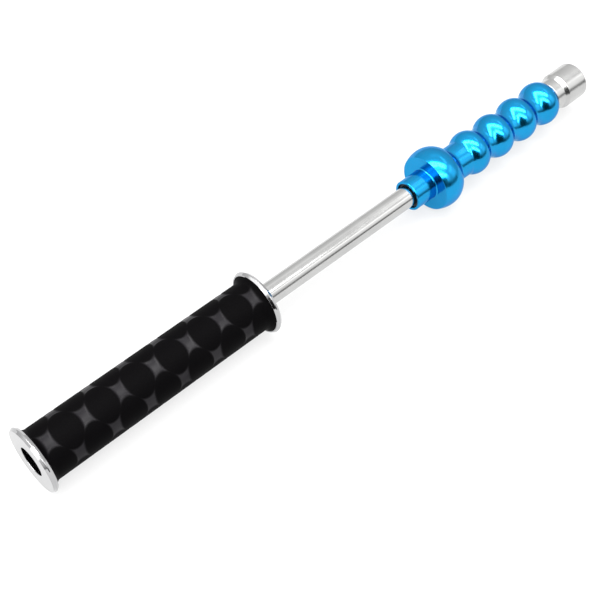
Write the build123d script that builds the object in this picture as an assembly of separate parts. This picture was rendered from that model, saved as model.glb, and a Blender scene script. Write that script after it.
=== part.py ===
"""Slide hammer: a sliding weight on a polished rod, with a hollow sleeved handle and a threaded tip.

The tool's axis is X. The origin is the centre of the mouth of the tip's threaded socket, +X points out
of that mouth, and the handle lies towards -X. Lengths are in millimetres. Nearly every piece is turned,
so it is described by its half section: points (x, radius) or arcs, revolved about X.
"""
from build123d import *
from math import sqrt
import os

# ---- Rod ----
ROD_RADIUS = 7.0
STUD_RADIUS = 6.0              # M12 ends of the rod
STUD_CHAMFER = 1.0
THREAD_GAP = 0.03              # radial gap between a stud and the piece screwed on it
SEAT_GAP = 0.02                # radial gap of a seat that is pressed or pushed together

# ---- Tip: a stepped socket for screw-in pulling adapters ----
TIP_RADIUS = 12.65
TIP_BODY_LENGTH = 17.9
TIP_NECK_RADIUS = 11.0
TIP_NECK_LENGTH = 10.1
TIP_SHOULDER = 2.7             # axial length of the bevel between neck and body
TIP_EDGE_ROUND = 0.9
SOCKET_RADIUS = 6.0            # tapping size of M14
SOCKET_DEPTH = 12.5
SOCKET_CHAMFER = 0.8
TIP_STUD_DEPTH = 11.5

# ---- Sliding weight ----
STOP_GAP = 0.2                 # left between the weight and a stop at either end of its travel
COLLAR_RADIUS = 10.35
COLLAR_LENGTH = 16.5
COLLAR_BREAK = 0.35
BALL_RADIUS = 20.85
BALL_FACE_OFFSET = 8.3         # from the ball's widest plane forward to its flat face
BALL_FRONT_ARC = 18.8
BALL_REAR_ARC = 14.8
BALL_TO_BEAD = 33.9
NECK_RADIUS = 11.95
NECK_FILLET = 4.0
BEAD_RADIUS = 15.0
BEAD_ARC = 11.0
BEAD_COUNT = 4
BEAD_PITCH = 23.4
WAIST_RADIUS = 11.35
WAIST_FILLET = 8.0
TAIL_OFFSET = 8.5              # from the last bead's widest plane to the tail face
BORE_RADIUS = 7.4              # clear bore between the two guide bushes
MOUTH_DEPTH = 1.6              # how far the nose bush sits inside the collar
BUSH_RADIUS = 8.65
BUSH_LENGTH = 9.0
RUNNING_GAP = 0.05             # radial clearance of a running fit

# ---- Handle ----
ROD_FREE_LENGTH = 263.7        # bare rod and weight, from the tip's neck to the front flange
FLANGE_RADIUS = 20.85
FLANGE_THICKNESS = 3.4
FLANGE_BEVEL_LENGTH = 1.4
FLANGE_BEVEL_DEPTH = 0.95
GRIP_LENGTH = 154.9            # between the two flanges
TUBE_RADIUS = 15.0
TUBE_BORE_RADIUS = 12.0
PILOT_DEPTH = 6.0              # counterbore that takes the full rod
FRONT_SPIGOT_LENGTH = 17.0
REAR_SPIGOT_LENGTH = 12.0
REAR_HOLE_RADIUS = 9.2
SLEEVE_WALL = 1.2
SLEEVE_FLARE_RADIUS = 19.2     # where each end of the sleeve meets its flange
SLEEVE_FLARE_LENGTH = 4.0

# ---- Nut and washers inside the handle ----
WASHER_RADIUS = 11.5
WASHER_THICKNESS = 2.0
LOCK_WASHER_RADIUS = 10.4
LOCK_WASHER_THICKNESS = 2.5
LOCK_WASHER_SLIT = 1.6
NUT_ACROSS_FLATS = 18.0
NUT_HEIGHT = 10.8
NUT_CORNER_TRIM = 9.75         # radius at which the corners are chamfered away at both faces
STUD_PROUD = 3.0               # stud showing beyond the nut

# ---- Stations along the axis ----
NECK_FACE = -(TIP_BODY_LENGTH + TIP_NECK_LENGTH)
TAIL_FACE = NECK_FACE - STOP_GAP
LAST_BEAD = TAIL_FACE - TAIL_OFFSET
FIRST_BEAD = LAST_BEAD - (BEAD_COUNT - 1) * BEAD_PITCH
BALL_CENTRE = FIRST_BEAD - BALL_TO_BEAD
BALL_FACE = BALL_CENTRE - BALL_FACE_OFFSET
NOSE_FACE = BALL_FACE - COLLAR_LENGTH
STRIKE_FACE = NECK_FACE - ROD_FREE_LENGTH
FRONT_INNER = STRIKE_FACE - FLANGE_THICKNESS
REAR_INNER = FRONT_INNER - GRIP_LENGTH
END_FACE = REAR_INNER - FLANGE_THICKNESS
PILOT_END = STRIKE_FACE - PILOT_DEPTH
SPIGOT_END = FRONT_INNER - FRONT_SPIGOT_LENGTH
NUT_FACE = SPIGOT_END - WASHER_THICKNESS - LOCK_WASHER_THICKNESS
STUD_END = NUT_FACE - NUT_HEIGHT - STUD_PROUD


def turned(points):
    """Solid of revolution about X from a closed half section of straight runs."""
    section = make_face(Polyline(*points, close=True))
    return revolve(section, axis=Axis.X)


def ring(start, end, inner, outer, edge=0.0):
    """Tube between two stations, its outer edges broken by a chamfer unless edge is zero."""
    if edge == 0:
        return turned([(start, inner), (start, outer), (end, outer), (end, inner)])
    return turned([
        (start, inner),
        (start, outer - edge),
        (start + edge, outer),
        (end - edge, outer),
        (end, outer - edge),
        (end, inner),
    ])


def shaft_rod():
    """Plain rod with a threaded stud at each end."""
    return turned([
        (STUD_END, 0),
        (STUD_END, STUD_RADIUS - STUD_CHAMFER),
        (STUD_END + STUD_CHAMFER, STUD_RADIUS),
        (PILOT_END, STUD_RADIUS),
        (PILOT_END, ROD_RADIUS),
        (NECK_FACE, ROD_RADIUS),
        (NECK_FACE, STUD_RADIUS),
        (NECK_FACE + TIP_STUD_DEPTH - STUD_CHAMFER - STOP_GAP, STUD_RADIUS),
        (NECK_FACE + TIP_STUD_DEPTH - STOP_GAP, STUD_RADIUS - STUD_CHAMFER),
        (NECK_FACE + TIP_STUD_DEPTH - STOP_GAP, 0),
    ])


def tip_socket():
    """Stepped tip: screwed on the rod from behind, with a blind threaded socket in front."""
    shoulder = -TIP_BODY_LENGTH
    body = turned([
        (NECK_FACE, 0),
        (NECK_FACE, TIP_NECK_RADIUS - COLLAR_BREAK),
        (NECK_FACE + COLLAR_BREAK, TIP_NECK_RADIUS),
        (shoulder - TIP_SHOULDER, TIP_NECK_RADIUS),
        (shoulder, TIP_RADIUS),
        (0, TIP_RADIUS),
        (0, 0),
    ])
    rim = body.edges().filter_by(GeomType.CIRCLE).group_by(Axis.X)[-1]
    body = fillet(rim, TIP_EDGE_ROUND)
    stud_bore = ring(NECK_FACE - 1, NECK_FACE + TIP_STUD_DEPTH, 0, STUD_RADIUS + THREAD_GAP)
    socket = turned([
        (-SOCKET_DEPTH, 0),
        (-SOCKET_DEPTH, SOCKET_RADIUS),
        (-SOCKET_CHAMFER, SOCKET_RADIUS),
        (0, SOCKET_RADIUS + SOCKET_CHAMFER),
        (1, SOCKET_RADIUS + SOCKET_CHAMFER),
        (1, 0),
    ])
    return body - stud_bore - socket


def crest_arc(centre, radius, arc, x):
    """Radius, at station x, of a bulge whose widest point is at centre and whose section is an arc."""
    return radius - arc + sqrt(arc**2 - (x - centre) ** 2)


def fillet_centre(centre, radius, arc, low, blend, side):
    """Station of a fillet's centre beside a bulge, where the fillet ends on a cylinder of radius low."""
    reach = sqrt((arc + blend) ** 2 - (low + blend - radius + arc) ** 2)
    return centre + side * reach


def touch_point(centre, radius, arc, low, blend, side):
    """Point where a bulge's arc meets the fillet beside it."""
    share = arc / (arc + blend)
    hub = radius - arc
    x = centre + (fillet_centre(centre, radius, arc, low, blend, side) - centre) * share
    return x, hub + (low + blend - hub) * share


def dip(left, right, low, blend):
    """Edges of a waist between two bulges: fillet, short cylinder, fillet."""
    start = touch_point(*left, low, blend, +1)
    finish = touch_point(*right, low, blend, -1)
    flat_start = fillet_centre(*left, low, blend, +1)
    flat_finish = fillet_centre(*right, low, blend, -1)
    return [
        ThreePointArc(start, fillet_middle(start, flat_start, low, blend), (flat_start, low)),
        Line((flat_start, low), (flat_finish, low)),
        ThreePointArc((flat_finish, low), fillet_middle(finish, flat_finish, low, blend), finish),
    ]


def fillet_middle(end, centre_x, low, blend):
    """Point half way along a fillet that runs from end down to the cylinder."""
    centre = Vector(centre_x, low + blend)
    towards = (Vector(*end) - centre).normalized() + Vector(0, -1)
    middle = centre + towards.normalized() * blend
    return middle.X, middle.Y


def slider_section():
    """Outline of the weight: collar, flat-faced ball, then a row of finger beads."""
    ball_face_radius = crest_arc(BALL_CENTRE, BALL_RADIUS, BALL_FRONT_ARC, BALL_FACE)
    beads = [(FIRST_BEAD + i * BEAD_PITCH, BEAD_RADIUS, BEAD_ARC) for i in range(BEAD_COUNT)]
    ball = (BALL_CENTRE, BALL_RADIUS, BALL_REAR_ARC)
    front_mid = BALL_CENTRE - BALL_FACE_OFFSET / 2
    outline = [
        Polyline(
            (NOSE_FACE, 0),
            (NOSE_FACE, COLLAR_RADIUS - COLLAR_BREAK),
            (NOSE_FACE + COLLAR_BREAK, COLLAR_RADIUS),
            (BALL_FACE, COLLAR_RADIUS),
            (BALL_FACE, ball_face_radius),
        ),
        ThreePointArc(
            (BALL_FACE, ball_face_radius),
            (front_mid, crest_arc(BALL_CENTRE, BALL_RADIUS, BALL_FRONT_ARC, front_mid)),
            (BALL_CENTRE, BALL_RADIUS),
        ),
    ]
    cursor = (BALL_CENTRE, BALL_RADIUS)
    crest = ball
    for number, bead in enumerate(beads):
        low, blend = (NECK_RADIUS, NECK_FILLET) if number == 0 else (WAIST_RADIUS, WAIST_FILLET)
        waist = dip(crest, bead, low, blend)
        outline.append(bulge_edge(crest, cursor, touch_point(*crest, low, blend, +1)))
        outline.extend(waist)
        cursor = touch_point(*bead, low, blend, -1)
        crest = bead
    tail_radius = crest_arc(*crest, TAIL_FACE)
    outline.append(bulge_edge(crest, cursor, (TAIL_FACE, tail_radius)))
    outline.append(Polyline((TAIL_FACE, tail_radius), (TAIL_FACE, 0), (NOSE_FACE, 0)))
    return make_face(outline)


def bulge_edge(crest, start, finish):
    """Arc over a bulge between two points of its section."""
    middle = (start[0] + finish[0]) / 2
    return ThreePointArc(start, (middle, crest_arc(*crest, middle)), finish)


def slider_weight():
    """Turned steel weight with a seat for a guide bush at each end of its bore."""
    solid = revolve(slider_section(), axis=Axis.X)
    seat = BUSH_RADIUS + RUNNING_GAP
    bore = turned([
        (NOSE_FACE - 1, 0),
        (NOSE_FACE - 1, seat),
        (NOSE_FACE + MOUTH_DEPTH + BUSH_LENGTH, seat),
        (NOSE_FACE + MOUTH_DEPTH + BUSH_LENGTH, BORE_RADIUS),
        (TAIL_FACE - BUSH_LENGTH, BORE_RADIUS),
        (TAIL_FACE - BUSH_LENGTH, seat),
        (TAIL_FACE + 1, seat),
        (TAIL_FACE + 1, 0),
    ])
    return solid - bore


def guide_bush(start):
    """Plastic bush that runs on the rod."""
    return ring(start + STOP_GAP / 2, start + BUSH_LENGTH - STOP_GAP / 2, ROD_RADIUS + RUNNING_GAP,
                BUSH_RADIUS, COLLAR_BREAK)


def flange_points(outer_face, inner_face):
    """Rim of a flange, bevelled on both sides."""
    inward = 1 if inner_face > outer_face else -1
    low = FLANGE_RADIUS - FLANGE_BEVEL_DEPTH
    return [
        (outer_face, low),
        (outer_face + inward * FLANGE_BEVEL_LENGTH, FLANGE_RADIUS),
        (inner_face - inward * FLANGE_BEVEL_LENGTH, FLANGE_RADIUS),
        (inner_face, low),
    ]


def front_flange():
    """Flange the weight strikes, with a spigot in the tube and a stepped hole for the rod."""
    spigot = TUBE_BORE_RADIUS - SEAT_GAP
    return turned([
        (STRIKE_FACE, ROD_RADIUS + SEAT_GAP),
        *flange_points(STRIKE_FACE, FRONT_INNER),
        (FRONT_INNER, spigot),
        (SPIGOT_END, spigot),
        (SPIGOT_END, STUD_RADIUS + THREAD_GAP),
        (PILOT_END, STUD_RADIUS + THREAD_GAP),
        (PILOT_END, ROD_RADIUS + SEAT_GAP),
    ])


def rear_flange():
    """Flange that closes the handle's end around a plain round hole."""
    spigot = TUBE_BORE_RADIUS - SEAT_GAP
    return turned([
        (END_FACE, REAR_HOLE_RADIUS),
        *flange_points(END_FACE, REAR_INNER),
        (REAR_INNER, spigot),
        (REAR_INNER + REAR_SPIGOT_LENGTH, spigot),
        (REAR_INNER + REAR_SPIGOT_LENGTH, REAR_HOLE_RADIUS),
    ])


def handle_tube():
    """Steel tube between the two flanges."""
    return ring(REAR_INNER, FRONT_INNER, TUBE_BORE_RADIUS, TUBE_RADIUS)


def grip_sleeve():
    """Shrunk rubber sleeve whose ends flare out against the flanges."""
    inner = TUBE_RADIUS + SEAT_GAP
    outer = TUBE_RADIUS + SLEEVE_WALL
    reach = SLEEVE_FLARE_LENGTH
    bow = SLEEVE_FLARE_RADIUS - outer
    rear_turn = (REAR_INNER + reach * 0.3, outer + bow * 0.35)
    front_turn = (FRONT_INNER - reach * 0.3, outer + bow * 0.35)
    return turned([
        (REAR_INNER, inner),
        (REAR_INNER, SLEEVE_FLARE_RADIUS),
        rear_turn,
        (REAR_INNER + reach, outer),
        (FRONT_INNER - reach, outer),
        front_turn,
        (FRONT_INNER, SLEEVE_FLARE_RADIUS),
        (FRONT_INNER, inner),
    ])


def flat_washer():
    """Washer against the front flange's spigot."""
    return ring(SPIGOT_END - WASHER_THICKNESS, SPIGOT_END, STUD_RADIUS + THREAD_GAP, WASHER_RADIUS)


def lock_washer():
    """Split spring washer, pressed flat by the nut."""
    start = SPIGOT_END - WASHER_THICKNESS - LOCK_WASHER_THICKNESS
    washer = ring(start, start + LOCK_WASHER_THICKNESS, STUD_RADIUS + THREAD_GAP, LOCK_WASHER_RADIUS)
    slit = Box(LOCK_WASHER_THICKNESS * 2, LOCK_WASHER_SLIT, LOCK_WASHER_RADIUS)
    slit = Rot(30, 0, 0) * Pos(start + LOCK_WASHER_THICKNESS / 2, 0, LOCK_WASHER_RADIUS) * slit
    return washer - slit


def shaft_nut():
    """Hexagon nut that draws the rod's shoulder into the front flange."""
    start = NUT_FACE - NUT_HEIGHT
    apothem = NUT_ACROSS_FLATS / 2
    hexagon = RegularPolygon(apothem, 6, major_radius=False)
    prism = Pos(start, 0, 0) * Rot(0, 90, 0) * extrude(hexagon, NUT_HEIGHT)
    corner = apothem * 2 / sqrt(3)
    trim = corner - NUT_CORNER_TRIM
    blank = turned([
        (start, STUD_RADIUS + THREAD_GAP),
        (start, NUT_CORNER_TRIM),
        (start + trim / 2, corner),
        (NUT_FACE - trim / 2, corner),
        (NUT_FACE, NUT_CORNER_TRIM),
        (NUT_FACE, STUD_RADIUS + THREAD_GAP),
    ])
    return prism & blank


SUB_PARTS = {
    "shaft_rod": shaft_rod(),
    "tip_socket": tip_socket(),
    "slider_weight": slider_weight(),
    "nose_bush": guide_bush(NOSE_FACE + MOUTH_DEPTH),
    "tail_bush": guide_bush(TAIL_FACE - BUSH_LENGTH),
    "front_flange": front_flange(),
    "rear_flange": rear_flange(),
    "handle_tube": handle_tube(),
    "grip_sleeve": grip_sleeve(),
    "flat_washer": flat_washer(),
    "lock_washer": lock_washer(),
    "shaft_nut": shaft_nut(),
}

os.makedirs("parts", exist_ok=True)
for node, shape in SUB_PARTS.items():
    shape.label = node
    export_step(shape, f"parts/{node}.step")

print("overall length", round(-END_FACE, 2), "mm")
print("slider travel", round(NOSE_FACE - STRIKE_FACE - STOP_GAP, 2), "mm")
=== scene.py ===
"""Looks of the slide hammer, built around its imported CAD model.

The tool's axis is X, with the origin in the mouth of the tip's socket and the handle towards -X. Turned
pieces are drawn as half sections of (station, radius) points in millimetres, and lathe() turns them into
meshes in metres. Stations come from the boxes of the CAD nodes.
"""
from math import acos, atan2, cos, hypot, pi, radians, sin, sqrt, tan

import bpy
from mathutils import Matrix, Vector


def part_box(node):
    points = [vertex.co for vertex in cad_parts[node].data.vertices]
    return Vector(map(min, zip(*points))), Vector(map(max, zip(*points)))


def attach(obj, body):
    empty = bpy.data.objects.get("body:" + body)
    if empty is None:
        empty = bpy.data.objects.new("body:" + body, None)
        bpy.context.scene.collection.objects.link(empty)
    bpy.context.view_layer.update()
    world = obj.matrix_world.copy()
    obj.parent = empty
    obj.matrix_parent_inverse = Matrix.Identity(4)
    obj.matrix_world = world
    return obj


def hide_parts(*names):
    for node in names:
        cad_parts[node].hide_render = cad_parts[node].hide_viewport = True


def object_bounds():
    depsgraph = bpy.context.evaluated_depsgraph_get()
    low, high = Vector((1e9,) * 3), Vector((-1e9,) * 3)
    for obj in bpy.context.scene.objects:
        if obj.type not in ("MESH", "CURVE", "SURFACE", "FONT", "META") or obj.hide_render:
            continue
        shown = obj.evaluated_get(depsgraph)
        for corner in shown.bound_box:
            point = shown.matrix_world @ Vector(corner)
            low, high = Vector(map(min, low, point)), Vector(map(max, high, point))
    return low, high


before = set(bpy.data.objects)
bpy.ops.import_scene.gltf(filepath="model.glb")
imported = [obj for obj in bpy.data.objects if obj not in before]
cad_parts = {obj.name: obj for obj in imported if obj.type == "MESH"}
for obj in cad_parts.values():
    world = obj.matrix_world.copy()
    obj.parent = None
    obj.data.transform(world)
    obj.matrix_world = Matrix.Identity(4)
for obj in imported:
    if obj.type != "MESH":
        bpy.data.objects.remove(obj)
cad_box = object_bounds()

MM = 0.001
TURN_SIDES = 160               # facets round a turned piece
ARC_STEP = radians(7.5)        # turn of a section between two points of an arc
SUPPORT = 0.06                 # straight stretch kept flat beside a rounded corner

# ---- Shapes the frame doesn't give ----
ROD_RADIUS = 7.0
STUD_RADIUS = 6.0
STUD_THREAD = (1.75, 0.95)     # pitch and depth
STUD_CHAMFER = 1.0
ROD_PILOT = 6.0                # how far the full rod enters the front flange
THREAD_FIT = 0.05              # gap of a mating part round the stud
TIP_NECK_RADIUS = 11.0
TIP_SHOULDER_START = -20.6
TIP_SHOULDER_END = -17.9
TIP_EDGE_ROUND = 0.9
SOCKET_RADIUS = 6.0
SOCKET_DEPTH = 12.5
SOCKET_THREAD = (2.0, 1.0)      # pitch and depth
SOCKET_DRILL_CONE = 1.2        # depth of the drill's cone past the thread
STUD_SEAT = 3.6                # from the socket's floor to the end of the rod's front stud
COLLAR_RADIUS = 10.35
COLLAR_LENGTH = 16.5
ROOT_FILLET = 0.8
BALL_FACE_OFFSET = 8.3
BALL_FRONT_ARC = 18.8
BALL_REAR_ARC = 14.8
BALL_TO_BEAD = 33.9
NECK_RADIUS = 11.95
NECK_FILLET = 4.0
BEAD_RADIUS = 15.0
BEAD_ARC = 11.0
BEAD_COUNT = 4
BEAD_PITCH = 23.4
WAIST_RADIUS = 11.35
WAIST_FILLET = 8.0
TAIL_OFFSET = 8.5
BORE_RADIUS = 7.4
BUSH_GAP = 0.05
FLANGE_BEVEL_LENGTH = 1.4
FLANGE_BEVEL_DEPTH = 0.95
SPIGOT_RADIUS = 11.98
REAR_HOLE_RADIUS = 9.2
SLEEVE_BORE = 15.02
SLEEVE_RADIUS = 16.2
SLEEVE_FLARE_RADIUS = 19.2
SLEEVE_FLARE_LENGTH = 4.0
SLEEVE_FLARE_POWER = 2.2       # how sharply the flare turns up at its lip
SLEEVE_STEPS = 380             # along the sleeve, fine enough for its relief
SLEEVE_SIDES = 252

# ---- Cross pattern of the sleeve ----
CROSS_PITCH = 23.7             # between crossings along the handle
CROSS_ROWS = 6
CROSS_ANGLE = radians(108.4)   # of one row, from +Y towards +Z
CROSS_FIRST = -300.9           # station of that row's first crossing
PAD_RADIUS = 2.36              # of a raised pad, where the pattern repeats every 2 pi
PAD_EDGE = 0.19
PAD_HEIGHT = 0.18
CROSS_DEPTH = 0.2


def station(node, side):
    """Lowest (0) or highest (1) station of a CAD node, in millimetres."""
    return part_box(node)[side].x / MM


def reach(node):
    """Largest radius of a CAD node, in millimetres."""
    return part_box(node)[1].z / MM


# ---------------------------------------------------------------- half sections
def arc(centre, radius, start, end):
    """Points of an arc between two angles, measured from +X towards the radius."""
    steps = max(2, round(abs(end - start) / ARC_STEP))
    return [
        (centre[0] + radius * cos(start + (end - start) * i / steps),
         centre[1] + radius * sin(start + (end - start) * i / steps))
        for i in range(steps + 1)
    ]


def rounded(corners):
    """Closed section from (station, radius, rounding) corners, with a short flat kept beside each arc."""
    points = []
    for i, (x, r, rounding) in enumerate(corners):
        before = Vector(corners[i - 1][:2])
        here = Vector((x, r))
        after = Vector(corners[(i + 1) % len(corners)][:2])
        if rounding == 0:
            points.append((x, r))
            continue
        back = (before - here).normalized()
        ahead = (after - here).normalized()
        half = acos(max(-1.0, min(1.0, back.dot(ahead)))) / 2
        start = here + back * rounding / tan(half)
        end = here + ahead * rounding / tan(half)
        hub = here + (back + ahead).normalized() * rounding / sin(half)
        first = atan2(start.y - hub.y, start.x - hub.x)
        swing = atan2(end.y - hub.y, end.x - hub.x) - first
        swing = (swing + pi) % (2 * pi) - pi
        points.append(tuple(start + back * SUPPORT))
        points.extend(arc(hub, rounding, first, first + swing))
        points.append(tuple(end + ahead * SUPPORT))
    return points


def spaced(start, end, radius, step):
    """Points along a cylinder, close enough together for a thread or a relief."""
    count = max(2, round(abs(end - start) / step))
    return [(start + (end - start) * i / count, radius) for i in range(count + 1)]


def thread(start, end, pitch, depth, outward):
    """Radius added at a station and an angle by a helical thread between two stations."""
    def ripple(x, angle):
        if not start < x < end:
            return 0.0
        phase = (x / pitch - angle / (2 * pi)) % 1.0
        groove = 1 - min(1.0, abs(phase - 0.5) * 2.4)
        fade = min(1.0, (x - start) / pitch, (end - x) / pitch)
        return groove * depth * fade * (1 if outward else -1)
    return ripple


# ---------------------------------------------------------------- meshes
def lathe(name, section, ripple=None, sides=TURN_SIDES):
    """Closed mesh of a section turned about X. Points on the axis become poles."""
    verts, rings, faces = [], [], []
    for x, r in section:
        if r < 1e-6:
            rings.append([len(verts)] * sides)
            verts.append((x * MM, 0.0, 0.0))
            continue
        rings.append(list(range(len(verts), len(verts) + sides)))
        for k in range(sides):
            angle = 2 * pi * k / sides
            radius = (r + (ripple(x, angle) if ripple else 0.0)) * MM
            verts.append((x * MM, radius * cos(angle), radius * sin(angle)))
    for i, ring in enumerate(rings):
        following = rings[(i + 1) % len(rings)]
        if len(set(ring)) == 1 and len(set(following)) == 1:
            continue
        for k in range(sides):
            m = (k + 1) % sides
            quad = [ring[k], following[k], following[m], ring[m]]
            faces.append([v for n, v in enumerate(quad) if v != quad[n - 1]])
    mesh = bpy.data.meshes.new(name)
    mesh.from_pydata(verts, [], faces)
    mesh.validate()
    mesh.polygons.foreach_set("use_smooth", [True] * len(mesh.polygons))
    mesh.set_sharp_from_angle(angle=radians(35))
    piece = bpy.data.objects.new(name, mesh)
    bpy.context.scene.collection.objects.link(piece)
    face_outward(mesh)
    return piece


def face_outward(mesh):
    """Turns a closed mesh's faces outward."""
    volume = 0.0
    for polygon in mesh.polygons:
        a, b, c = (mesh.vertices[polygon.vertices[n]].co for n in range(3))
        volume += a.dot(b.cross(c))
    if volume < 0:
        mesh.flip_normals()


def fit(piece, body, node, material):
    """Gives a piece its material and body, in place of its CAD node."""
    piece.data.materials.append(material)
    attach(piece, body)
    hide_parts(node)


# ---------------------------------------------------------------- material nodes
class Nodes:
    """Short way to add linked nodes to a material or world tree."""

    def __init__(self, owner):
        owner.use_nodes = True
        self.tree = owner.node_tree
        self.tree.nodes.clear()

    def add(self, kind, **settings):
        node = self.tree.nodes.new(kind)
        for key, value in settings.items():
            setattr(node, key, value)
        return node

    def join(self, value, socket):
        """Links an output to a socket, or sets the socket to a constant."""
        if hasattr(value, "is_linked"):
            self.tree.links.new(value, socket)
        else:
            socket.default_value = value

    def math(self, operation, *values):
        node = self.add("ShaderNodeMath", operation=operation)
        for value, socket in zip(values, node.inputs):
            self.join(value, socket)
        return node.outputs[0]

    def dot(self, vector, direction):
        node = self.add("ShaderNodeVectorMath", operation="DOT_PRODUCT")
        self.join(vector, node.inputs[0])
        node.inputs[1].default_value = direction
        return node.outputs["Value"]

    def ramp(self, value, low, high, out_low, out_high, smooth=False):
        node = self.add("ShaderNodeMapRange", interpolation_type="SMOOTHSTEP" if smooth else "LINEAR")
        for key, item in (("Value", value), ("From Min", low), ("From Max", high),
                          ("To Min", out_low), ("To Max", out_high)):
            self.join(item, node.inputs[key])
        return node.outputs["Result"]

    def place(self, scale):
        """Object coordinates, stretched by a scale for each axis."""
        coords = self.add("ShaderNodeTexCoord")
        mapping = self.add("ShaderNodeMapping")
        self.join(coords.outputs["Object"], mapping.inputs["Vector"])
        mapping.inputs["Scale"].default_value = scale
        return mapping.outputs["Vector"]

    def rings(self, scale):
        """Station and radius as coordinates, so that a pattern follows the lathe's tool."""
        coords = self.add("ShaderNodeTexCoord").outputs["Object"]
        split = self.add("ShaderNodeSeparateXYZ")
        self.join(coords, split.inputs[0])
        across = self.add("ShaderNodeVectorMath", operation="MULTIPLY")
        self.join(coords, across.inputs[0])
        across.inputs[1].default_value = (0, 1, 1)
        radius = self.add("ShaderNodeVectorMath", operation="LENGTH")
        self.join(across.outputs[0], radius.inputs[0])
        joined = self.add("ShaderNodeCombineXYZ")
        self.join(self.math("MULTIPLY", split.outputs[0], scale), joined.inputs[0])
        self.join(self.math("MULTIPLY", radius.outputs["Value"], scale), joined.inputs[1])
        return joined.outputs[0]

    def noise(self, scale, detail=3.0, roughness=0.5, turned=False):
        node = self.add("ShaderNodeTexNoise")
        self.join(self.rings(scale) if turned else self.place(scale), node.inputs["Vector"])
        node.inputs["Scale"].default_value = 1.0
        node.inputs["Detail"].default_value = detail
        node.inputs["Roughness"].default_value = roughness
        return node.outputs["Fac"]

    def blend(self, factor, first, second):
        """Mix of two colours. The colour sockets of the node can only be told apart by index."""
        node = self.add("ShaderNodeMix", data_type="RGBA")
        self.join(factor, node.inputs["Factor"])
        self.join(first, node.inputs[6])
        self.join(second, node.inputs[7])
        return node.outputs[2]

    def bump(self, height, strength, distance, normal=None):
        node = self.add("ShaderNodeBump")
        node.inputs["Strength"].default_value = strength
        node.inputs["Distance"].default_value = distance
        self.join(height, node.inputs["Height"])
        if normal is not None:
            self.join(normal, node.inputs["Normal"])
        return node.outputs["Normal"]

    def surface(self, colour, roughness, normal, **constants):
        shader = self.add("ShaderNodeBsdfPrincipled")
        self.join(colour, shader.inputs["Base Color"])
        self.join(roughness, shader.inputs["Roughness"])
        self.join(normal, shader.inputs["Normal"])
        for key, value in constants.items():
            self.join(value, shader.inputs[key.replace("_", " ")])
        output = self.add("ShaderNodeOutputMaterial")
        self.join(shader.outputs[0], output.inputs["Surface"])


def colour(red, green, blue):
    return (red, green, blue, 1.0)


def turned_metal(name, dark, light, smooth, rough, groove, coat=0.0, tint=(1, 1, 1)):
    """Metal with fine tool marks round X, cloudy wear in its roughness and a slight tint change."""
    material = bpy.data.materials.new(name)
    nodes = Nodes(material)
    marks = nodes.noise(2600, detail=4.0, roughness=0.6, turned=True)
    clouds = nodes.noise((70, 70, 70), detail=3.0)
    base = nodes.blend(nodes.ramp(clouds, 0.3, 0.7, 0.0, 1.0), dark, light)
    wear = nodes.math("ADD", nodes.ramp(clouds, 0.3, 0.7, smooth, rough),
                      nodes.ramp(marks, 0.35, 0.65, -0.02, 0.03))
    normal = nodes.bump(marks, groove, 0.00002)
    nodes.surface(base, wear, normal, Metallic=1.0, Specular_Tint=colour(*tint), Coat_Weight=coat,
                  Coat_Roughness=0.06)
    return material


def plastic(name, dark, light, rough):
    """Moulded plastic with a fine grain."""
    material = bpy.data.materials.new(name)
    nodes = Nodes(material)
    grain = nodes.noise((2200, 2200, 2200), detail=2.0)
    clouds = nodes.noise((150, 150, 150))
    base = nodes.blend(clouds, dark, light)
    wear = nodes.ramp(clouds, 0.3, 0.7, rough - 0.06, rough + 0.06)
    nodes.surface(base, wear, nodes.bump(grain, 0.25, 0.00005), Specular_IOR_Level=0.4)
    return material


def sleeve_rubber():
    """Black shrunk rubber: matt raised pads, and smoother valleys where the bands cross, painted greyer as
    a sheen on top of their glossier coat.
    """
    material = bpy.data.materials.new("sleeve_rubber")
    nodes = Nodes(material)
    valley = nodes.add("ShaderNodeAttribute", attribute_name="valley").outputs["Fac"]
    clouds = nodes.noise((160, 160, 160))
    grain = nodes.noise((3000, 3000, 3000), detail=2.0)
    pad = nodes.blend(clouds, colour(0.0006, 0.0005, 0.0007), colour(0.0014, 0.0012, 0.0015))
    # the valleys' lighter grey is a painted sheen: reflected light put into the base colour
    cross = nodes.blend(clouds, colour(0.009, 0.0082, 0.0098), colour(0.014, 0.013, 0.015))
    base = nodes.blend(valley, pad, cross)
    wear = nodes.math("ADD", nodes.ramp(valley, 0.0, 1.0, 0.62, 0.42),
                      nodes.ramp(clouds, 0.3, 0.7, -0.04, 0.04))
    patchy = nodes.ramp(nodes.noise((55, 55, 55), detail=1.0), 0.35, 0.65, 0.08, 0.28)
    gloss = nodes.math("MULTIPLY", valley, patchy)
    nodes.surface(base, wear, nodes.bump(grain, 0.3, 0.00006), Specular_IOR_Level=0.03,
                  Coat_Weight=gloss, Coat_Roughness=0.3)
    return material


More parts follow.
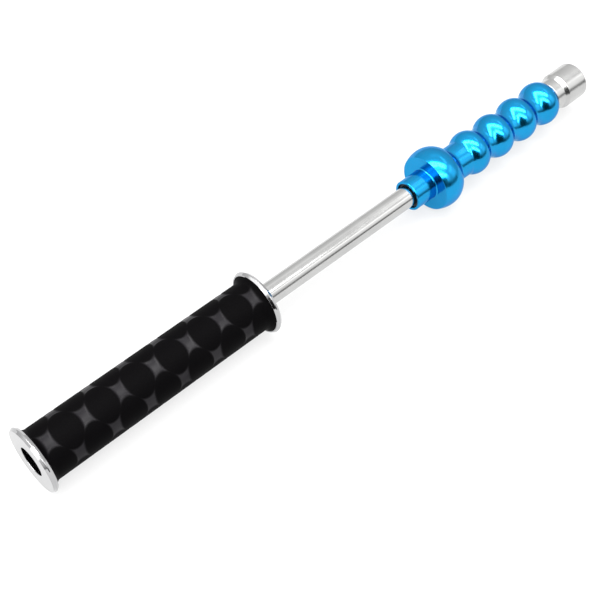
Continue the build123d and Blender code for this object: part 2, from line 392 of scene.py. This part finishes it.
# ---------------------------------------------------------------- pieces
def tip():
    """Stepped tip with a threaded blind socket."""
    rear = station("tip_socket", 0)
    radius = reach("tip_socket")
    section = rounded([
        (rear, STUD_RADIUS + THREAD_FIT, 0),
        (rear, TIP_NECK_RADIUS, 0.35),
        (TIP_SHOULDER_START, TIP_NECK_RADIUS, 0.3),
        (TIP_SHOULDER_END, radius, 0.5),
        (0, radius, TIP_EDGE_ROUND),
        (0, SOCKET_RADIUS + 0.9, 0.12),
        (-0.8, SOCKET_RADIUS, 0.1),
    ])
    section += spaced(-1.0, -SOCKET_DEPTH + 0.1, SOCKET_RADIUS, SOCKET_THREAD[0] / 12)
    section += [
        (-SOCKET_DEPTH, SOCKET_RADIUS - 0.1),
        (-SOCKET_DEPTH - SOCKET_DRILL_CONE, 0),
        (-SOCKET_DEPTH - STUD_SEAT, 0),
        (-SOCKET_DEPTH - STUD_SEAT, STUD_RADIUS + THREAD_FIT),
    ]
    ripple = thread(-SOCKET_DEPTH + 0.4, -0.6, *SOCKET_THREAD, outward=True)
    return lathe("tip_turned", section, ripple)


def rod():
    """Polished rod with a cut thread on the stud inside the handle."""
    stud_end = station("shaft_rod", 0)
    front = station("shaft_rod", 1)
    shoulder = station("tip_socket", 0)
    pilot = station("front_flange", 1) - ROD_PILOT
    section = [(stud_end, 0), (stud_end, STUD_RADIUS - STUD_CHAMFER)]
    section += spaced(stud_end + STUD_CHAMFER, pilot - 0.5, STUD_RADIUS, STUD_THREAD[0] / 10)
    section += [
        (pilot, STUD_RADIUS),
        (pilot, ROD_RADIUS),
        (shoulder, ROD_RADIUS),
        (shoulder, STUD_RADIUS),
        (front - STUD_CHAMFER, STUD_RADIUS),
        (front, STUD_RADIUS - STUD_CHAMFER),
        (front, 0),
    ]
    ripple = thread(stud_end + 0.6, pilot - 1.0, *STUD_THREAD, outward=False)
    return lathe("rod_polished", section, ripple)


def blend_points(left, right, low, blend):
    """Waist between two bulges (centre, radius, arc): where each arc ends, and the fillets' hubs."""
    hubs, ends = [], []
    for (centre, radius, swell), side in ((left, 1), (right, -1)):
        middle = radius - swell
        run = sqrt((swell + blend) ** 2 - (low + blend - middle) ** 2)
        share = swell / (swell + blend)
        hubs.append(centre + side * run)
        ends.append((centre + side * run * share, middle + (low + blend - middle) * share))
    return hubs, ends


def bulge(centre, radius, swell, start, end):
    """Arc over a bulge between two stations."""
    hub = (centre, radius - swell)
    first = acos(max(-1.0, min(1.0, (start - centre) / swell)))
    last = acos(max(-1.0, min(1.0, (end - centre) / swell)))
    steps = max(4, round(abs(last - first) / radians(3.5)))
    return [
        (hub[0] + swell * cos(first + (last - first) * i / steps),
         hub[1] + swell * sin(first + (last - first) * i / steps))
        for i in range(steps + 1)
    ]


def weight():
    """Blue sliding weight: collar, flat-faced ball and a row of finger beads."""
    nose = station("slider_weight", 0)
    tail = station("slider_weight", 1)
    face = nose + COLLAR_LENGTH
    ball = (face + BALL_FACE_OFFSET, reach("slider_weight"), BALL_REAR_ARC)
    last = tail - TAIL_OFFSET
    beads = [(last - (BEAD_COUNT - 1 - i) * BEAD_PITCH, BEAD_RADIUS, BEAD_ARC) for i in range(BEAD_COUNT)]
    seat = reach("nose_bush") + BUSH_GAP
    nose_seat = station("nose_bush", 1) + 0.1
    tail_seat = station("tail_bush", 0) - 0.1
    front = bulge(ball[0], ball[1], BALL_FRONT_ARC, face, ball[0])
    section = rounded([
        (nose_seat, seat, 0),
        (nose, seat, 0.35),
        (nose, COLLAR_RADIUS, 0.6),
        (face, COLLAR_RADIUS, ROOT_FILLET),
        (face, front[0][1], 0.35),
        (front[2][0], front[2][1], 0),
    ])[:-1]
    section += front[2:-1]
    cursor = ball[0]
    crest = ball
    for number, bead in enumerate(beads):
        low, blend = (NECK_RADIUS, NECK_FILLET) if number == 0 else (WAIST_RADIUS, WAIST_FILLET)
        hubs, ends = blend_points(crest, bead, low, blend)
        section += bulge(*crest, cursor, ends[0][0])[:-1]
        for hub, end, side in ((hubs[0], ends[0], 1), (hubs[1], ends[1], -1)):
            tilt = atan2(end[1] - low - blend, end[0] - hub)
            bottom = -pi / 2
            tilt = tilt - 2 * pi if tilt > bottom + pi else tilt
            sweep = (tilt, bottom) if side == 1 else (bottom, tilt)
            section += arc((hub, low + blend), blend, *sweep)
        section.pop()
        cursor = ends[1][0]
        crest = bead
    edge = crest[1] - crest[2] + sqrt(crest[2] ** 2 - (tail - crest[0]) ** 2)
    section += bulge(*crest, cursor, tail - 0.25)
    section += [(tail - 0.1, edge + 0.05), (tail, edge - 0.2), (tail, seat + 0.2), (tail - 0.2, seat),
                (tail_seat, seat), (tail_seat, BORE_RADIUS), (nose_seat, BORE_RADIUS)]
    return lathe("weight_turned", section)


def bush(name, node):
    """Plastic guide bush with broken edges."""
    start, end = station(node, 0), station(node, 1)
    inner, outer = ROD_RADIUS + BUSH_GAP, reach(node)
    return lathe(name, rounded([
        (start, inner, 0.3),
        (start, outer, 0.35),
        (end, outer, 0.35),
        (end, inner, 0.3),
    ]))


def flange(name, node, outer_face, inner_face, spigot_end, hole, pilot=None):
    """Bright flange, bevelled on both sides of its rim, with a spigot that enters the tube."""
    radius = reach(node)
    inward = 1 if inner_face > outer_face else -1
    low = radius - FLANGE_BEVEL_DEPTH
    corners = [
        (outer_face, hole, 0.25),
        (outer_face, low, 0.2),
        (outer_face + inward * FLANGE_BEVEL_LENGTH, radius, 0.3),
        (inner_face - inward * FLANGE_BEVEL_LENGTH, radius, 0.3),
        (inner_face, low, 0.15),
        (inner_face, SPIGOT_RADIUS, 0),
        (spigot_end, SPIGOT_RADIUS, 0.3),
        (spigot_end, hole if pilot is None else STUD_RADIUS + THREAD_FIT, 0),
    ]
    if pilot is not None:
        corners += [(pilot, STUD_RADIUS + THREAD_FIT, 0), (pilot, hole, 0)]
    return lathe(name, rounded(corners))


def sleeve():
    """Shrunk rubber sleeve with raised oval pads, recessed crossings and flared ends."""
    rear, front = station("grip_sleeve", 0), station("grip_sleeve", 1)
    bow = SLEEVE_FLARE_RADIUS - SLEEVE_RADIUS

    def outer(x):
        """Plain radius, with a flared lip at each end."""
        depth = min(x - rear, front - x) / SLEEVE_FLARE_LENGTH
        return SLEEVE_RADIUS + bow * max(0.0, 1 - depth) ** SLEEVE_FLARE_POWER

    def relief(x, angle):
        """Radius added by a pad or taken off by a crossing, none at the ends."""
        gap = min(x - rear, front - x)
        if gap < 0.3:
            return 0.0
        fade = min(1.0, max(0.0, (gap - 1.5) / 3.0))
        share = cross_share(x, angle)
        return (PAD_HEIGHT * (1 - share) - CROSS_DEPTH * share) * fade

    stations = [rear + (front - rear) * i / SLEEVE_STEPS for i in range(SLEEVE_STEPS + 1)]
    section = [(x, outer(x)) for x in stations]
    section += [(front, SLEEVE_BORE), (rear, SLEEVE_BORE)]
    piece = lathe("sleeve_crossed", section, relief, sides=SLEEVE_SIDES)
    values = []
    for vertex in piece.data.vertices:
        x, y, z = (c / MM for c in vertex.co)
        gap = min(x - rear, front - x)
        share = cross_share(x, atan2(z, y)) if hypot(y, z) > SLEEVE_BORE + 0.3 else 0.0
        values.append(share * min(1.0, max(0.0, (gap - 1.0) / 3.0)))
    attribute = piece.data.attributes.new("valley", "FLOAT", "POINT")
    attribute.data.foreach_set("value", values)
    return piece


def cross_share(x, angle):
    """0 on a pad, 1 in a valley between pads, with a soft edge."""
    distance = pad_distance(x, angle)
    share = (distance - PAD_RADIUS + PAD_EDGE) / (2 * PAD_EDGE)
    share = min(1.0, max(0.0, share))
    return share * share * (3 - 2 * share)


def pad_distance(x, angle):
    """Distance to the nearest pad's centre, where the pattern repeats every 2 pi both ways."""
    along = 2 * pi * (x - CROSS_FIRST) / CROSS_PITCH
    around = CROSS_ROWS / 2 * (angle - CROSS_ANGLE)
    found = []
    for shift_along, shift_around in ((pi, 0.0), (0.0, pi)):
        a = (along - shift_along + pi) % (2 * pi) - pi
        b = (around - shift_around + pi) % (2 * pi) - pi
        found.append(hypot(a, b))
    return min(found)


# ---------------------------------------------------------------- studio
def soft_panel(nodes, ray, azimuth, elevation, tilt, width, height, edge, strength):
    """Light from a soft-edged rectangle of directions. Azimuth is from +Y towards +X, sizes in degrees."""
    a, e, t = radians(azimuth), radians(elevation), radians(tilt)
    centre = Vector((sin(a) * cos(e), cos(a) * cos(e), sin(e)))
    level = Vector((cos(a), -sin(a), 0))
    upward = level.cross(centre)
    across = level * cos(t) + upward * sin(t)
    along = upward * cos(t) - level * sin(t)
    front = nodes.math("MAXIMUM", nodes.dot(ray, centre), 0.001)
    mask = strength
    for direction, size in ((across, width), (along, height)):
        offset = nodes.math("ABSOLUTE", nodes.math("DIVIDE", nodes.dot(ray, direction), front))
        inside, outside = tan(radians(size / 2 - edge)), tan(radians(size / 2 + edge))
        mask = nodes.math("MULTIPLY", mask, nodes.ramp(offset, inside, outside, 1.0, 0.0, smooth=True))
    return mask


def studio():
    """White tent with overhead soft boxes, a side window and a dark opening where the camera stands."""
    world = bpy.data.worlds.new("studio")
    bpy.context.scene.world = world
    nodes = Nodes(world)
    ray = nodes.add("ShaderNodeTexCoord").outputs["Generated"]
    height = nodes.dot(ray, (0, 0, 1))
    light = nodes.ramp(height, 0.0, 0.85, 0.95, 1.4)
    for panel in LIGHTS:
        light = nodes.math("ADD", light, soft_panel(nodes, ray, *panel))
    for panel in SHADES:
        kept = nodes.math("SUBTRACT", 1.0, soft_panel(nodes, ray, *panel))
        light = nodes.math("MULTIPLY", light, kept)
    seen = nodes.add("ShaderNodeLightPath").outputs["Is Camera Ray"]
    background = nodes.add("ShaderNodeBackground")
    nodes.join(nodes.ramp(seen, 0.0, 1.0, light, 1.4), background.inputs["Strength"])
    output = nodes.add("ShaderNodeOutputWorld")
    nodes.join(background.outputs[0], output.inputs["Surface"])


# Soft rectangles of directions: azimuth, elevation, tilt, width, height, edge (degrees), strength.
# Lights are added to the tent's own light. A shade's strength is the share of light that it takes away.
LIGHTS = [
    (-40, 85, 0, 17, 76, 3, 13.0),
    (-160, 52, 32, 46, 11, 3, 11.0),
    (-110, 66, 0, 120, 32, 9, 1.3),
    (-97, 28, 0, 26, 46, 6, 4.5),
    (135, 30, 0, 28, 32, 6, 0.75),
    (133, 40, 0, 26, 6, 2, 0.9),
    (90, 55, 0, 26, 4, 2, 2.5),
    (44, 50, 0, 26, 12, 6, 0.3),
]
SHADES = [
    (-152, 16, 8, 46, 54, 6, 0.98),
    (-139, 37, 0, 26, 22, 5, 0.95),
    (-174, 6, 0, 34, 22, 6, 0.7),
    (156, 6, 0, 50, 16, 5, 0.65),
]


def floor():
    """Pale floor under the flanges."""
    half = 3.0
    level = cad_box[0].z
    mesh = bpy.data.meshes.new("floor")
    corners = [(-half, -half, level), (half, -half, level), (half, half, level), (-half, half, level)]
    mesh.from_pydata(corners, [], [(0, 1, 2, 3)])
    plane = bpy.data.objects.new("floor", mesh)
    bpy.context.scene.collection.objects.link(plane)
    material = bpy.data.materials.new("floor_paper")
    nodes = Nodes(material)
    fibre = nodes.noise((400, 400, 400))
    tone = nodes.blend(fibre, colour(0.17, 0.17, 0.17), colour(0.19, 0.19, 0.19))
    nodes.surface(tone, 0.9, nodes.bump(fibre, 0.02, 0.0001), Specular_IOR_Level=0.1,
                  Emission_Color=colour(1, 1, 1), Emission_Strength=0.72)
    mesh.materials.append(material)


# Degrees for the angles, millimetres for the lens, metres for the aim and the distance.
CAMERA_AZIMUTH = -42.65
CAMERA_ELEVATION = 51.41
CAMERA_LENS = 69.0
CAMERA_AIM = Vector((-0.2696, -0.0118, -0.0070))
CAMERA_DISTANCE = 0.690


def camera():
    a, e = radians(CAMERA_AZIMUTH), radians(CAMERA_ELEVATION)
    back = Vector((sin(a) * cos(e), -cos(a) * cos(e), sin(e)))
    data = bpy.data.cameras.new("camera")
    data.lens = CAMERA_LENS
    data.sensor_width = 36.0
    view = bpy.data.objects.new("camera", data)
    view.location = CAMERA_AIM + back * CAMERA_DISTANCE
    view.rotation_mode = "QUATERNION"
    view.rotation_quaternion = (-back).to_track_quat("-Z", "Y")
    bpy.context.scene.collection.objects.link(view)
    bpy.context.scene.camera = view


camera()
studio()
floor()
bpy.context.scene.view_settings.view_transform = "Standard"

# dark and light colour, smoothest and roughest wear, depth of the tool marks
blue = turned_metal("blue_anodised", colour(0.003, 0.27, 0.57), colour(0.004, 0.3, 0.63),
                    0.16, 0.2, 0.2, coat=0.3, tint=(0.12, 0.52, 0.8))
steel = turned_metal("rod_ground", colour(0.48, 0.48, 0.475), colour(0.53, 0.53, 0.525),
                     0.12, 0.16, 0.2)
tip_metal = turned_metal("tip_brushed", colour(0.48, 0.48, 0.475), colour(0.54, 0.54, 0.535),
                         0.18, 0.24, 0.7)
chrome = turned_metal("flange_chrome", colour(0.44, 0.44, 0.445), colour(0.48, 0.48, 0.485),
                      0.05, 0.08, 0.08)
tube_metal = turned_metal("tube_drawn", colour(0.4, 0.4, 0.41), colour(0.48, 0.48, 0.49), 0.3, 0.4, 0.3)
zinc = turned_metal("zinc_plated", colour(0.5, 0.52, 0.55), colour(0.6, 0.6, 0.62), 0.3, 0.36, 0.3)
nylon = plastic("guide_nylon", colour(0.006, 0.006, 0.007), colour(0.012, 0.012, 0.013), 0.45)
rubber = sleeve_rubber()

strike, front_inner = station("front_flange", 1), station("grip_sleeve", 1)
end_face, rear_inner = station("rear_flange", 0), station("grip_sleeve", 0)
fit(tip(), "tool_body", "tip_socket", tip_metal)
fit(rod(), "tool_body", "shaft_rod", steel)
fit(weight(), "weight", "slider_weight", blue)
fit(bush("nose_bush_moulded", "nose_bush"), "guide_bushes", "nose_bush", nylon)
fit(bush("tail_bush_moulded", "tail_bush"), "guide_bushes", "tail_bush", nylon)
fit(flange("front_flange_polished", "front_flange", strike, front_inner, station("front_flange", 0),
           ROD_RADIUS + 0.02, pilot=strike - ROD_PILOT), "tool_body", "front_flange", chrome)
fit(flange("rear_flange_polished", "rear_flange", end_face, rear_inner, station("rear_flange", 1),
           REAR_HOLE_RADIUS), "tool_body", "rear_flange", chrome)
fit(sleeve(), "tool_body", "grip_sleeve", rubber)

for node, material in (("handle_tube", tube_metal), ("flat_washer", zinc), ("lock_washer", zinc),
                       ("shaft_nut", zinc)):
    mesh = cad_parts[node].data
    mesh.materials.clear()
    mesh.materials.append(material)
